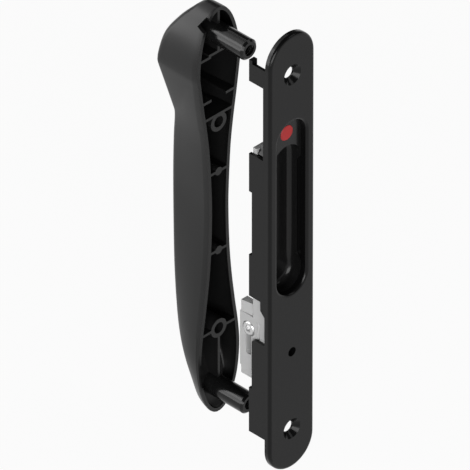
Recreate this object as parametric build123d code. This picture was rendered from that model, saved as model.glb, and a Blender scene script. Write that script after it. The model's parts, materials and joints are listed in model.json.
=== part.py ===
from build123d import *
import math
import os

# Two-sided lock set for a sliding window: a flush plate with a sliding finger tray
# for one face of the sash stile, and a hollow pull handle for the other face.
# Millimetres. X runs across the plate, Y from the room's outside inwards, Z up.
# The origin is midway between the two plate screws, on the plate's seating face.

# Fixing screws, shared by the plate and the handle
SCREW_Z = 77.2
SCREW_BORE_D = 4.5
SCREW_HEAD_D = 8.4
SCREW_HEAD_ANGLE = 90

# Face plate
PLATE_LENGTH = 188.6
PLATE_WIDTH = 22.5
PLATE_T = 2.6
PLATE_EDGE_R = 1.2
ACCESS_D = 3.75
ACCESS_Z = -43.3

# Opening in the plate, and the finger pocket of the same width behind it
OPENING_WIDTH = 14.4
OPENING_LOW_Z = -10.5
OPENING_HIGH_Z = 49.5
OPENING_EDGE_R = 1.2

# Channel walls behind the plate
WALL_T = 1.2
WALL_OUTER_HALF = 9.5
WALL_BACK_Y = 9.7
WALL_LOW_Z = -79.6
WALL_HIGH_Z = 42.0
CURB_BACK_Y = 2.7
EAR_LOW_Z = 73.3
EAR_HIGH_Z = 81.1
EAR_LIP_WIDTH = 2.5
EAR_LIP_T = 1.6
EAR_LIP_RISE = 1.4
NOTCH_DEPTH = 1.4
UPPER_NOTCH_LOW_Z = -1.9
UPPER_NOTCH_HIGH_Z = 25.5
LOWER_NOTCH_LOW_Z = -60.2
WINDOW_LOW_Z = -38.4
WINDOW_STEP_Z = -24.0
WINDOW_HIGH_Z = -20.0
WINDOW_FRONT_Y = 1.9
WINDOW_STEP_Y = 4.0
WINDOW_CORNER_R = 1.6

# Sliding parts
SLIDE_TRAVEL = 12.0
SIDE_CLEARANCE = 0.2
FACE_CLEARANCE = 0.3
FIT_CLEARANCE = 0.03
OVERRUN = 1.0

# Finger tray
FLANGE_T = 2.0
FLANGE_OVERLAP = 2.8
FLANGE_CORNER_R = 3.0
POCKET_FLOOR_Y = 5.6
POCKET_HIGH_Z = 37.8
POCKET_COVE_R = 2.5
TRAY_FLOOR_T = 1.5
SHELL_TOP_T = 2.5
SHELL_BOTTOM_T = 1.6
DIP_Y = 3.1
DIP_HIGH_Z = 33.0
DIP_LOW_Z = -5.0
DIP_RAMP = 5.5
DOT_D = 6.1
DOT_Z = 50.7
DOT_DEPTH = 1.2
DOT_PROUD = 0.1
DOT_EDGE = 0.12

# Drive slide, behind the tray
BAR_T = 1.9
BAR_HIGH_Z = 44.2
SLIDE_LOW_Z = -57.0
CARRIER_FRONT_Y = 2.6
CARRIER_HIGH_Z = -20.0
GROOVE_R = 0.75
GROOVE_Y = 6.3
GROOVE_HIGH_Z = -31.3
GROOVE_LENGTH = 22.0
LUG_BACK_Y = 15.0
LUG_HIGH_Z = -30.5
LUG_LOW_Z = -56.0
LUG_HALF = 4.0
PILOT_D = 3.2
PILOT_DEPTH = 4.0
SPIGOT_D = 4.0
SPIGOT_HEAD_D = 5.6
SPIGOT_HIGH_Z = 22.0
SPIGOT_LOW_Z = 2.0

# Adjustable latch block, clamped to the lug
BLOCK_BACK_Y = 15.6
BLOCK_HIGH_Z = -30.0
BLOCK_LOW_Z = -53.5
TAIL_STEP = 0.6
NOSE_HEIGHT = 5.0
NOSE_T = 3.1
NOSE_SLANT = 0.9
CLAMP_Y = 11.3
CLAMP_Z = -36.0
CLAMP_SLOT_WIDTH = 2.6
CLAMP_SLOT_LENGTH = 10.0
CLAMP_SHANK_D = 2.4
CLAMP_THREAD_LENGTH = 6.5
CLAMP_HEAD_D = 5.4
CLAMP_HEAD_HEIGHT = 1.9
CLAMP_HEAD_EDGE = 0.35
CLAMP_SOCKET_AF = 2.5
CLAMP_SOCKET_DEPTH = 1.2
WASHER_T = 0.4
COUNTERBORE_D = 6.1

# Sprung detent across the carrier
DETENT_BALL_D = 3.0
DETENT_BORE_D = 3.1
DETENT_Y = 5.0
DETENT_Z = -52.5
DETENT_GAP = 0.05
DIMPLE_D = 2.0
DIMPLE_DEPTH = 0.4
SPRING_WIRE_D = 0.4
SPRING_TURNS = 8

# Spring-steel straps that hold the slide in the channel
STRAP_T = 0.5
STRAP_HEIGHT = 7.0
STRAP_SEAT = 0.6
UPPER_STRAP_Z = 33.0
LOWER_STRAP_Z = -7.0

# Pull handle
RIM_Y = 34.4
HANDLE_TOP_Z = 88.3
HANDLE_BOTTOM_Z = -88.1
HEAD_Z = 61.0
TAIL_Z = -63.0
HEAD_HALF = 10.75
TAIL_HALF = 10.2
HANDLE_WALL = 1.5
HANDLE_BACK_T = 1.9
HANDLE_FLARE_DEPTH = 4.2
HANDLE_FLARE_SHARE = 0.4
HANDLE_FLARE = 1.0
HANDLE_BACK_R = 2.6
HANDLE_BACK_R_SHARE = 0.6
HEAD_TAPER = 0.96
TAIL_TAPER = 0.76
TAIL_FLARE = 0.3
POST_D = 8.3
POST_REACH = 15.5
POST_CHAMFER = 0.8
POST_BORE_DEPTH = 17.0
RIB_T = 1.1
RING_D = 7.8
RING_BORE_D = 4.5
RING_BORE_DEPTH = 9.0
UPPER_RING_Z = 38.7
LOWER_RING_Z = -51.5
STUD_D = 3.4
STUD_Z = 17.2
STUB_Z = 49.6
STUB_LENGTH = 3.6
HEAD_RIB_Z = 69.3
SPINE_LOW_Z = -73.0
RIM_NOTCH_LOW_Z = 79.7
RIM_NOTCH_HIGH_Z = 85.5
RIM_NOTCH_DEPTH = 4.0
REBATE_LOW_Z = -74.0
REBATE_HIGH_Z = -63.6
REBATE_DEPTH = 2.0
REBATE_WALL = 0.8

# Sizes that follow from the ones above
WALL_INNER_HALF = WALL_OUTER_HALF - WALL_T
SLIDE_HALF = WALL_INNER_HALF - SIDE_CLEARANCE
OPENING_R = OPENING_WIDTH / 2
NOTCH_Y = WALL_BACK_Y - NOTCH_DEPTH
TRAY_FRONT_Y = FACE_CLEARANCE
FLANGE_BACK_Y = TRAY_FRONT_Y + FLANGE_T
TRAY_BACK_Y = POCKET_FLOOR_Y + TRAY_FLOOR_T
BAR_BACK_Y = TRAY_BACK_Y + BAR_T
FLANGE_HIGH_Z = OPENING_HIGH_Z + OPENING_R + FLANGE_OVERLAP
FLANGE_LOW_Z = OPENING_LOW_Z - OPENING_R - SLIDE_TRAVEL - OVERRUN
COUNTERBORE_X = -SLIDE_HALF + CLAMP_HEAD_HEIGHT + WASHER_T - SIDE_CLEARANCE
RIB_ROOT = 1.0


def block(x_range, y_range, z_range):
    """A box between two limits along each axis."""
    size = [high - low for low, high in (x_range, y_range, z_range)]
    corner = (x_range[0], y_range[0], z_range[0])
    return Pos(*corner) * Box(*size, align=(Align.MIN, Align.MIN, Align.MIN))


def through_y(profile, y_front, y_back):
    """Extrudes a profile drawn in X and Z from one Y to the other."""
    return extrude(Plane.XZ.offset(-y_front) * profile, amount=-(y_back - y_front))


def through_x(profile, x_low, x_high):
    """Extrudes a profile drawn in Y and Z from one X to the other."""
    return extrude(Plane.YZ.offset(x_low) * profile, amount=x_high - x_low)


def rod_y(diameter, x, z, y_front, y_back):
    """A round rod along Y."""
    return through_y(Pos(x, z) * Circle(diameter / 2), y_front, y_back)


def cone_y(front_d, back_d, x, z, y_front, depth):
    """A cone along Y between two diameters."""
    cone = Cone(front_d / 2, back_d / 2, depth, align=(Align.CENTER, Align.CENTER, Align.MIN))
    return Pos(x, y_front, z) * Rot(-90, 0, 0) * cone


def rod_x(diameter, y, z, x_low, x_high):
    """A round rod along X."""
    return through_x(Pos(y, z) * Circle(diameter / 2), x_low, x_high)


def slot_profile(half_width, low_z, high_z):
    """An upright slot whose end arcs have their centres at the two heights."""
    middle = (low_z + high_z) / 2
    return Pos(0, middle) * SlotCenterToCenter(high_z - low_z, 2 * half_width, 90)


def wall_profile():
    """Side view of a channel wall, its low curb and the ear above it."""
    root_y = -PLATE_T / 2
    outline = Polyline(
        (root_y, WALL_LOW_Z),
        (WALL_BACK_Y, WALL_LOW_Z),
        (WALL_BACK_Y, WALL_HIGH_Z),
        (CURB_BACK_Y, WALL_HIGH_Z),
        (CURB_BACK_Y, EAR_LOW_Z),
        (WALL_BACK_Y, EAR_LOW_Z),
        (WALL_BACK_Y, EAR_HIGH_Z),
        (root_y, EAR_HIGH_Z),
        close=True,
    )
    wall = make_face(outline)
    past_back = WALL_BACK_Y + OVERRUN
    window = make_face(
        Polyline(
            (WINDOW_FRONT_Y, WINDOW_LOW_Z),
            (past_back, WINDOW_LOW_Z),
            (past_back, WINDOW_HIGH_Z),
            (WINDOW_STEP_Y, WINDOW_HIGH_Z),
            (WINDOW_STEP_Y, WINDOW_STEP_Z),
            (WINDOW_FRONT_Y, WINDOW_STEP_Z - (WINDOW_STEP_Y - WINDOW_FRONT_Y)),
            close=True,
        )
    )
    upper_notch = notch_profile(UPPER_NOTCH_LOW_Z, UPPER_NOTCH_HIGH_Z)
    lower_notch = notch_profile(LOWER_NOTCH_LOW_Z, WINDOW_LOW_Z + OVERRUN)
    wall = wall - window - upper_notch - lower_notch
    corner = wall.vertices().sort_by_distance((NOTCH_Y, WINDOW_LOW_Z, 0))[0]
    return fillet(corner, WINDOW_CORNER_R)


def notch_profile(low_z, high_z):
    """A shallow step in the back edge of a channel wall."""
    depth = NOTCH_DEPTH + OVERRUN
    return Pos(NOTCH_Y + depth / 2, (low_z + high_z) / 2) * Rectangle(depth, high_z - low_z)


def strap_range(strap_z):
    """Lower and upper edge of a strap."""
    return (strap_z - STRAP_HEIGHT / 2, strap_z + STRAP_HEIGHT / 2)


def face_plate():
    """Cast flush plate with its opening, screw holes, channel walls and ears."""
    end_z = (PLATE_LENGTH - PLATE_WIDTH) / 2
    plate = through_y(slot_profile(PLATE_WIDTH / 2, -end_z, end_z), -PLATE_T, 0)
    plate = fillet(plate.faces().sort_by(Axis.Y)[0].edges(), PLATE_EDGE_R)
    opening = slot_profile(OPENING_R, OPENING_LOW_Z, OPENING_HIGH_Z)
    plate -= through_y(opening, -PLATE_T, 0)
    mouth = plate.faces().sort_by(Axis.Y)[0].inner_wires()[0]
    plate = fillet(mouth.edges(), OPENING_EDGE_R)
    sink_depth = (SCREW_HEAD_D - SCREW_BORE_D) / 2 / math.tan(math.radians(SCREW_HEAD_ANGLE / 2))
    for screw_z in (-SCREW_Z, SCREW_Z):
        plate -= rod_y(SCREW_BORE_D, 0, screw_z, -PLATE_T, 0)
        plate -= cone_y(SCREW_HEAD_D, SCREW_BORE_D, 0, screw_z, -PLATE_T, sink_depth)
    plate -= rod_y(ACCESS_D, 0, ACCESS_Z, -PLATE_T, 0)

    wall = through_x(wall_profile(), WALL_INNER_HALF, WALL_OUTER_HALF)
    wall += block(
        (WALL_OUTER_HALF - EAR_LIP_WIDTH, WALL_OUTER_HALF),
        (WALL_BACK_Y - EAR_LIP_T, WALL_BACK_Y),
        (EAR_LOW_Z, EAR_HIGH_Z + EAR_LIP_RISE),
    )
    for strap_z in (UPPER_STRAP_Z, LOWER_STRAP_Z):
        wall -= block(
            (WALL_INNER_HALF - OVERRUN, WALL_INNER_HALF + STRAP_SEAT),
            (WALL_BACK_Y - STRAP_T, WALL_BACK_Y + OVERRUN),
            strap_range(strap_z),
        )
    dimple_x = (WALL_INNER_HALF - OVERRUN, WALL_INNER_HALF + DIMPLE_DEPTH)
    for dimple_z in (DETENT_Z, DETENT_Z + SLIDE_TRAVEL):
        wall -= rod_x(DIMPLE_D, DETENT_Y, dimple_z, *dimple_x)
    return plate + wall + mirror(wall, Plane.YZ)


def finger_tray():
    """Sliding tray: a flange behind the plate and the bowl of the finger pocket."""
    flange_middle = (FLANGE_LOW_Z + FLANGE_HIGH_Z) / 2
    flange_profile = RectangleRounded(
        2 * SLIDE_HALF, FLANGE_HIGH_Z - FLANGE_LOW_Z, FLANGE_CORNER_R
    )
    tray = through_y(Pos(0, flange_middle) * flange_profile, TRAY_FRONT_Y, FLANGE_BACK_Y)
    bowl_low = OPENING_LOW_Z - OPENING_R - SHELL_BOTTOM_T + SLIDE_HALF
    bowl_high = POCKET_HIGH_Z + OPENING_R + SHELL_TOP_T - SLIDE_HALF
    bowl = slot_profile(SLIDE_HALF, bowl_low, bowl_high)
    tray += through_y(bowl, TRAY_FRONT_Y, TRAY_BACK_Y)
    pocket_outline = slot_profile(OPENING_R, OPENING_LOW_Z, POCKET_HIGH_Z)
    pocket = through_y(pocket_outline, TRAY_FRONT_Y - OVERRUN, POCKET_FLOOR_Y)
    floor_edges = pocket.faces().sort_by(Axis.Y)[-1].edges()
    tray -= fillet(floor_edges, POCKET_COVE_R)
    tray -= through_x(dip_profile(), -WALL_INNER_HALF, WALL_INNER_HALF)
    tray -= rod_y(DOT_D, 0, DOT_Z, TRAY_FRONT_Y, TRAY_FRONT_Y + DOT_DEPTH)
    for spigot_z in (SPIGOT_LOW_Z, SPIGOT_HIGH_Z):
        tray += spigot(spigot_z, 0)
    return tray


def dip_profile():
    """Side view of the lowered rims beside the pocket, with an S-shaped ramp at each end."""
    above = TRAY_FRONT_Y - OVERRUN
    high_end = (TRAY_FRONT_Y, DIP_HIGH_Z + DIP_RAMP)
    low_end = (TRAY_FRONT_Y, DIP_LOW_Z - DIP_RAMP)
    floor = Line((DIP_Y, DIP_LOW_Z), (DIP_Y, DIP_HIGH_Z))
    high_ramp = Spline((DIP_Y, DIP_HIGH_Z), high_end, tangents=((0, 1), (0, 1)))
    low_ramp = Spline(low_end, (DIP_Y, DIP_LOW_Z), tangents=((0, 1), (0, 1)))
    closing = Polyline(high_end, (above, high_end[1]), (above, low_end[1]), low_end)
    return make_face(floor + high_ramp + closing + low_ramp)


def spigot(spigot_z, clearance):
    """Peg from the tray's back whose end is headed over in the drive slide."""
    peg_d = SPIGOT_D + 2 * clearance
    head_d = SPIGOT_HEAD_D + 2 * clearance
    head_height = (head_d - peg_d) / 2
    peg = rod_y(peg_d, 0, spigot_z, TRAY_BACK_Y - TRAY_FLOOR_T / 2, BAR_BACK_Y)
    return peg + cone_y(peg_d, head_d, 0, spigot_z, BAR_BACK_Y - head_height, head_height)


def red_indicator():
    """Coloured disc pressed into the tray above the pocket."""
    disc_d = DOT_D - 2 * FIT_CLEARANCE
    disc = rod_y(disc_d, 0, DOT_Z, TRAY_FRONT_Y - DOT_PROUD, TRAY_FRONT_Y + DOT_DEPTH)
    return chamfer(disc.faces().sort_by(Axis.Y)[0].edges(), DOT_EDGE)


def drive_slide():
    """Cast slide: a flat bar behind the tray with the carrier and lug for the latch block."""
    width = (-SLIDE_HALF, SLIDE_HALF)
    slide = block(width, (TRAY_BACK_Y, BAR_BACK_Y), (SLIDE_LOW_Z, BAR_HIGH_Z))
    slide += block(width, (CARRIER_FRONT_Y, TRAY_BACK_Y), (SLIDE_LOW_Z, CARRIER_HIGH_Z))
    slide += block((-LUG_HALF, LUG_HALF), (BAR_BACK_Y, LUG_BACK_Y), (LUG_LOW_Z, LUG_HIGH_Z))
    for spigot_z in (SPIGOT_LOW_Z, SPIGOT_HIGH_Z):
        slide -= spigot(spigot_z, FIT_CLEARANCE)
    groove = Cylinder(GROOVE_R, GROOVE_LENGTH)
    slide -= Pos(-SLIDE_HALF, GROOVE_Y, GROOVE_HIGH_Z - GROOVE_LENGTH / 2) * groove
    slide -= rod_y(PILOT_D, 0, ACCESS_Z, CARRIER_FRONT_Y, CARRIER_FRONT_Y + PILOT_DEPTH)
    slide -= rod_x(DETENT_BORE_D, DETENT_Y, DETENT_Z, -SLIDE_HALF, SLIDE_HALF)
    slide -= rod_x(CLAMP_SHANK_D + 2 * FIT_CLEARANCE, CLAMP_Y, CLAMP_Z, -LUG_HALF, LUG_HALF)
    return slide - counterbore()


def latch_block():
    """Latch block with a slanted nose, clamped through a slot so its height can be set."""
    width = (-SLIDE_HALF, -LUG_HALF)
    step_back_y = BLOCK_BACK_Y - TAIL_STEP
    body = block(width, (BAR_BACK_Y, BLOCK_BACK_Y), (BLOCK_LOW_Z, BLOCK_HIGH_Z))
    body += block(width, (BAR_BACK_Y, step_back_y), (SLIDE_LOW_Z, BLOCK_LOW_Z))
    nose_outline = Polyline(
        (-SLIDE_HALF, step_back_y),
        (-SLIDE_HALF + NOSE_SLANT, BAR_BACK_Y),
        (-SLIDE_HALF + NOSE_T, BAR_BACK_Y),
        (-SLIDE_HALF + NOSE_T, step_back_y),
        close=True,
    )
    body += extrude(Pos(0, 0, BLOCK_HIGH_Z) * make_face(nose_outline), amount=NOSE_HEIGHT)
    slot_middle = CLAMP_Z - CLAMP_SLOT_LENGTH / 2
    slot = Pos(CLAMP_Y, slot_middle) * SlotCenterToCenter(CLAMP_SLOT_LENGTH, CLAMP_SLOT_WIDTH, 90)
    body -= through_x(slot, -SLIDE_HALF, -LUG_HALF)
    return body - counterbore()


def counterbore():
    """Recess for the clamp screw's head, which also scallops the slide's edge."""
    return rod_x(COUNTERBORE_D, CLAMP_Y, CLAMP_Z, -SLIDE_HALF, COUNTERBORE_X)


def clamp_screw():
    """Socket-head screw along X that clamps the latch block to the lug."""
    head_x = COUNTERBORE_X - WASHER_T
    head = rod_x(CLAMP_HEAD_D, CLAMP_Y, CLAMP_Z, head_x - CLAMP_HEAD_HEIGHT, head_x)
    outer_rim = head.faces().sort_by(Axis.X)[0].edges()
    head = chamfer(outer_rim, CLAMP_HEAD_EDGE)
    socket = Pos(CLAMP_Y, CLAMP_Z) * RegularPolygon(CLAMP_SOCKET_AF / 2, 6, major_radius=False)
    socket_x = head_x - CLAMP_HEAD_HEIGHT
    head -= through_x(socket, socket_x, socket_x + CLAMP_SOCKET_DEPTH)
    shank = rod_x(CLAMP_SHANK_D, CLAMP_Y, CLAMP_Z, head_x, -LUG_HALF + CLAMP_THREAD_LENGTH)
    return head + shank


def clamp_washer():
    """Plain washer between the screw head and the counterbore."""
    ring = Circle(COUNTERBORE_D / 2 - FIT_CLEARANCE) - Circle(CLAMP_SHANK_D / 2 + FIT_CLEARANCE)
    return through_x(Pos(CLAMP_Y, CLAMP_Z) * ring, COUNTERBORE_X - WASHER_T, COUNTERBORE_X)


def detent_ball(side):
    """Ball that the spring presses against a dimpled wall."""
    centre_x = WALL_INNER_HALF - DETENT_GAP - DETENT_BALL_D / 2
    return Pos(side * centre_x, DETENT_Y, DETENT_Z) * Sphere(DETENT_BALL_D / 2)


def detent_spring():
    """Coil spring between the two balls."""
    half_length = WALL_INNER_HALF - DETENT_GAP - DETENT_BALL_D
    coil_radius = DETENT_BORE_D / 2 - SPRING_WIRE_D
    height = 2 * half_length - SPRING_WIRE_D
    path = Helix(height / SPRING_TURNS, height, coil_radius)
    section = Plane(path @ 0, z_dir=path % 0) * Circle(SPRING_WIRE_D / 2)
    coil = sweep(section, path=path)
    return Pos(-height / 2, DETENT_Y, DETENT_Z) * Rot(0, 90, 0) * coil


def strap(strap_z):
    """Spring-steel strap across the channel, seated in both walls."""
    reach = WALL_INNER_HALF + STRAP_SEAT
    return block((-reach, reach), (WALL_BACK_Y - STRAP_T, WALL_BACK_Y), strap_range(strap_z))


def rim_half_width(z):
    """Half-width of the handle's rim, with half an ellipse at each end."""
    if z > HEAD_Z:
        return HEAD_HALF * math.sqrt(max(0, 1 - ((z - HEAD_Z) / (HANDLE_TOP_Z - HEAD_Z)) ** 2))
    return TAIL_HALF * math.sqrt(max(0, 1 - ((TAIL_Z - z) / (TAIL_Z - HANDLE_BOTTOM_Z)) ** 2))


# Sections of the grip: height, half-width at the rim, half-width at the back, depth,
# and how much of the flare is present
GRIP_SECTIONS = [
    (61.0, HEAD_HALF, 10.3, 21.9, 0.1),
    (51.0, 9.1, 8.1, 20.8, 0.9),
    (40.0, 7.6, 5.3, 19.6, 1.0),
    (28.0, 6.1, 4.5, 19.5, 1.0),
    (14.0, 5.3, 4.3, 20.3, 1.0),
    (0.0, 5.0, 4.2, 20.7, 1.0),
    (-14.0, 5.3, 4.3, 20.4, 1.0),
    (-28.0, 6.2, 4.8, 19.4, 1.0),
    (-42.0, 7.8, 5.8, 17.2, 1.0),
    (-54.0, 9.6, 6.9, 14.6, 0.8),
    (-63.0, TAIL_HALF, 7.6, 10.8, 0.4),
]

# Angle round each end ellipse, and the depth of the section there
HEAD_SECTIONS = [(25, 18.8), (45, 15.2), (62, 12.2), (75, 9.6), (85, 7.4)]
TAIL_SECTIONS = [(25, 7.6), (45, 6.2), (62, 5.2), (75, 4.4), (85, 3.8)]


def handle_sections():
    """All sections from the tail to the head, as height, half-widths, depth and flare."""
    sections = list(GRIP_SECTIONS)
    for angle, depth in HEAD_SECTIONS:
        z = HEAD_Z + (HANDLE_TOP_Z - HEAD_Z) * math.sin(math.radians(angle))
        half = rim_half_width(z)
        sections.insert(0, (z, half, half * HEAD_TAPER, depth, 0))
    for angle, depth in TAIL_SECTIONS:
        z = TAIL_Z - (TAIL_Z - HANDLE_BOTTOM_Z) * math.sin(math.radians(angle))
        half = rim_half_width(z)
        sections.append((z, half, half * TAIL_TAPER, depth, TAIL_FLARE))
    return sections


def handle_body(inset, back_inset):
    """Lofted body of the handle, smaller by an inset at the sides and another at the back."""
    profiles = []
    for z, half, back_half, depth, flare in handle_sections():
        shrink = 1 - inset / HEAD_HALF
        end_z = HEAD_Z if z > HEAD_Z else TAIL_Z
        if z > HEAD_Z or z < TAIL_Z:
            reach = abs((HANDLE_TOP_Z if z > HEAD_Z else HANDLE_BOTTOM_Z) - end_z)
            z = end_z + (z - end_z) * (1 - inset / reach)
            half *= shrink
            back_half *= shrink
        else:
            half -= inset
            back_half -= inset
        depth -= back_inset
        flare_depth = min(HANDLE_FLARE_DEPTH, depth * HANDLE_FLARE_SHARE)
        crease_half = half - HANDLE_FLARE * flare
        corner_r = min(
            HANDLE_BACK_R, HANDLE_BACK_R_SHARE * back_half, HANDLE_BACK_R_SHARE * (depth - flare_depth)
        )
        profiles.append(handle_section(z, half, crease_half, back_half, depth, flare_depth, corner_r))
    return loft(profiles) & handle_room(RIM_Y, RIM_Y + PLATE_LENGTH)


def handle_room(y_low, y_high):
    """Space round the handle between two levels."""
    return block((-PLATE_WIDTH, PLATE_WIDTH), (y_low, y_high), (-PLATE_LENGTH, PLATE_LENGTH))


def handle_section(z, half, crease_half, back_half, depth, flare_depth, corner_r):
    """One level section: a flared U closed in front of the rim."""
    front_y = RIM_Y - OVERRUN
    crease_y = RIM_Y + flare_depth
    back_y = RIM_Y + depth
    right = [(half, front_y), (half, RIM_Y), (crease_half, crease_y), (back_half, back_y)]
    left = [(-x, y) for x, y in reversed(right)]
    outline = make_face(Polyline(*right, *left, close=True))
    corners = outline.vertices().sort_by(Axis.Y)[-2:]
    return Pos(0, 0, z) * fillet(corners, corner_r)


def post(post_z):
    """Solid of a fixing post, from its free end back into the handle."""
    free_end_y = RIM_Y - POST_REACH
    rod = rod_y(POST_D, 0, post_z, free_end_y, RIM_Y + PLATE_WIDTH)
    return chamfer(rod.faces().sort_by(Axis.Y)[0].edges(), POST_CHAMFER)


def cross_rib(z, x_low, x_high):
    """A flat rib across the hollow, level with the rim."""
    return block((x_low, x_high), (RIM_Y, RIM_Y + PLATE_WIDTH), (z - RIB_T / 2, z + RIB_T / 2))


def pull_handle():
    """Hollow cast handle with two tapped posts, ring bosses and stiffening ribs."""
    outer = handle_body(0, 0)
    shell = outer - handle_body(HANDLE_WALL, HANDLE_BACK_T)
    back_y = RIM_Y + PLATE_WIDTH
    depth = (RIM_Y, back_y)
    spine = (-RIB_T / 2, RIB_T / 2)
    inside = cross_rib(HEAD_RIB_Z, -HEAD_HALF, HEAD_HALF)
    inside += cross_rib(UPPER_RING_Z + RING_D / 2 - RIB_T / 2, -HEAD_HALF, HEAD_HALF)
    inside += cross_rib(LOWER_RING_Z, -TAIL_HALF, TAIL_HALF)
    for stub_x in (-1, 1):
        inner = rim_stub_half() - STUB_LENGTH
        x_low, x_high = sorted((stub_x * inner, stub_x * HEAD_HALF))
        inside += cross_rib(STUB_Z, x_low, x_high)
    for stud_z in (-STUD_Z, STUD_Z):
        inside += cross_rib(stud_z, -TAIL_HALF, TAIL_HALF)
        inside += rod_y(STUD_D, 0, stud_z, RIM_Y, back_y)
    for ring_z in (UPPER_RING_Z, LOWER_RING_Z):
        inside += rod_y(RING_D, 0, ring_z, RIM_Y, back_y)
    inside += block(spine, depth, (SPINE_LOW_Z, LOWER_RING_Z))
    inside += block(spine, depth, (SCREW_Z, HANDLE_TOP_Z))
    posts = post(SCREW_Z) + post(-SCREW_Z)
    handle = shell + ((inside + posts) & outer) + (posts & handle_room(0, RIM_Y + RIB_ROOT))
    for ring_z in (UPPER_RING_Z, LOWER_RING_Z):
        handle -= rod_y(RING_BORE_D, 0, ring_z, RIM_Y, RIM_Y + RING_BORE_DEPTH)
    for post_z in (-SCREW_Z, SCREW_Z):
        free_end_y = RIM_Y - POST_REACH
        handle -= rod_y(SCREW_BORE_D, 0, post_z, free_end_y, free_end_y + POST_BORE_DEPTH)
    left_rim = (-HEAD_HALF, -POST_D / 2)
    notch_depth = (RIM_Y, RIM_Y + RIM_NOTCH_DEPTH)
    handle -= block(left_rim, notch_depth, (RIM_NOTCH_LOW_Z, RIM_NOTCH_HIGH_Z))
    rebate_depth = (RIM_Y, RIM_Y + REBATE_DEPTH)
    rebate = block(left_rim, rebate_depth, (REBATE_LOW_Z, REBATE_HIGH_Z))
    return handle - (rebate & handle_body(REBATE_WALL, REBATE_WALL))


def rim_stub_half():
    """Half-width of the rim where the broken-off rib leaves its two stubs."""
    lower, upper = GRIP_SECTIONS[1], GRIP_SECTIONS[0]
    share = (STUB_Z - lower[0]) / (upper[0] - lower[0])
    return lower[1] + share * (upper[1] - lower[1])


def write_parts():
    """Builds every piece and writes it to its own file."""
    os.makedirs("parts", exist_ok=True)
    pieces = {
        "face_plate": face_plate(),
        "finger_tray": finger_tray(),
        "red_indicator": red_indicator(),
        "drive_slide": drive_slide(),
        "latch_block": latch_block(),
        "clamp_screw": clamp_screw(),
        "clamp_washer": clamp_washer(),
        "detent_ball_left": detent_ball(-1),
        "detent_ball_right": detent_ball(1),
        "detent_spring": detent_spring(),
        "upper_strap": strap(UPPER_STRAP_Z),
        "lower_strap": strap(LOWER_STRAP_Z),
        "pull_handle": pull_handle(),
    }
    for name, piece in pieces.items():
        export_step(piece, f"parts/{name}.step")


write_parts()
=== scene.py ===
import json
import math

import bmesh
import bpy
from bpy.props import FloatProperty, FloatVectorProperty, IntProperty, PointerProperty
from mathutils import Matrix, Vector

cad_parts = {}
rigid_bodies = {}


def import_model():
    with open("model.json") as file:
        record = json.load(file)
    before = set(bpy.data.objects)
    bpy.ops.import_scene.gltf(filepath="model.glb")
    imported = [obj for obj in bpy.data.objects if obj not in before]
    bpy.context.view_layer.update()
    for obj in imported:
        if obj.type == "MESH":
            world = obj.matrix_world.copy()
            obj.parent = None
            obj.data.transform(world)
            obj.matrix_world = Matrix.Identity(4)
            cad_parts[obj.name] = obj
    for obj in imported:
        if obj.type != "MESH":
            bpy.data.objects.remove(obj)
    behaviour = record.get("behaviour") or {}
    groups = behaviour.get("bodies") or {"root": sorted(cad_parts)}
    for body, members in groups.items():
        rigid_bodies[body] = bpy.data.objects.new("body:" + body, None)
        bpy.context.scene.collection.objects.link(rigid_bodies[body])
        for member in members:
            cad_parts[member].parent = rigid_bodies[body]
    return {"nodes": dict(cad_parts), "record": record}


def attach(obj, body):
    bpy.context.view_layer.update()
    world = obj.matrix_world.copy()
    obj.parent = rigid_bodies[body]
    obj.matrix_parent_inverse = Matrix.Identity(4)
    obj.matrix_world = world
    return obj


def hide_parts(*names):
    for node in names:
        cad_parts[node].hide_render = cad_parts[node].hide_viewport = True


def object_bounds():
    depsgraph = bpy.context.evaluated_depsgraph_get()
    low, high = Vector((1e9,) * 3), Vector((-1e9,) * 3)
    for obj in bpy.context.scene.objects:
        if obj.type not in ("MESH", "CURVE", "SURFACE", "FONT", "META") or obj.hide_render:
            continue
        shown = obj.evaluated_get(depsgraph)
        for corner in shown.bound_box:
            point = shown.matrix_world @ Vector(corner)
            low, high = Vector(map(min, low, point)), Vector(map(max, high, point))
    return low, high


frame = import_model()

CAD_BOX = [list(corner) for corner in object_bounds()]

bl_info = {
    "name": "Sliding window lock looks",
    "version": (1, 0, 0),
    "blender": (4, 5, 0),
    "location": "View3D > Sidebar > Lock",
    "description": "Pull handle, threads, finishes and studio for the sliding window lock",
    "category": "Object",
}

MM = 0.001

# Lamps: name, azimuth from the front towards +X, elevation, distance, size, radiance,
# and whether it lights matt surfaces or is only a softbox seen in glossy ones
LAMPS = (
    ("fill_lamp", -45, 12, 3.0, (2.6, 1.6), 6.6, True),
    ("back_lamp", -168, 40, 2.0, (2.8, 1.2), 2.4, False),
    ("side_lamp", -130, 9, 2.5, (2.4, 3.0), 4.6, False),
    ("right_lamp", 45, 38, 2.0, (0.9, 0.5), 1.8, True),
)
LAMP_AIM = (0, 0.02, 0)

# Floor: reach to each side and drop below the lock, in metres, and its paint,
# which shows as plain white by a share
FLOOR_REACH, FLOOR_DROP = 0.7, 0.0005
FLOOR_GREY, FLOOR_ROUGHNESS, FLOOR_WHITE = 0.85, 0.9, 0.95

# Camera: width of its sensor in millimetres, and the range that it sees in metres
SENSOR_WIDTH = 36
CLIP_RANGE = (0.1, 50)

# Paints and bare zinc: roughness, specular level, and depth of the grain in metres
PLATE_FINISH = (0.2, 0.175, 1e-6)
TRAY_FINISH = (0.2, 0.2, 1e-6)
HANDLE_FINISH = (0.34, 0.22, 1e-6)
INDICATOR_FINISH = (0.35, 0.25, 1e-6)
ZINC_FINISH = (0.5, 0.5, 6e-6)

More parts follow.
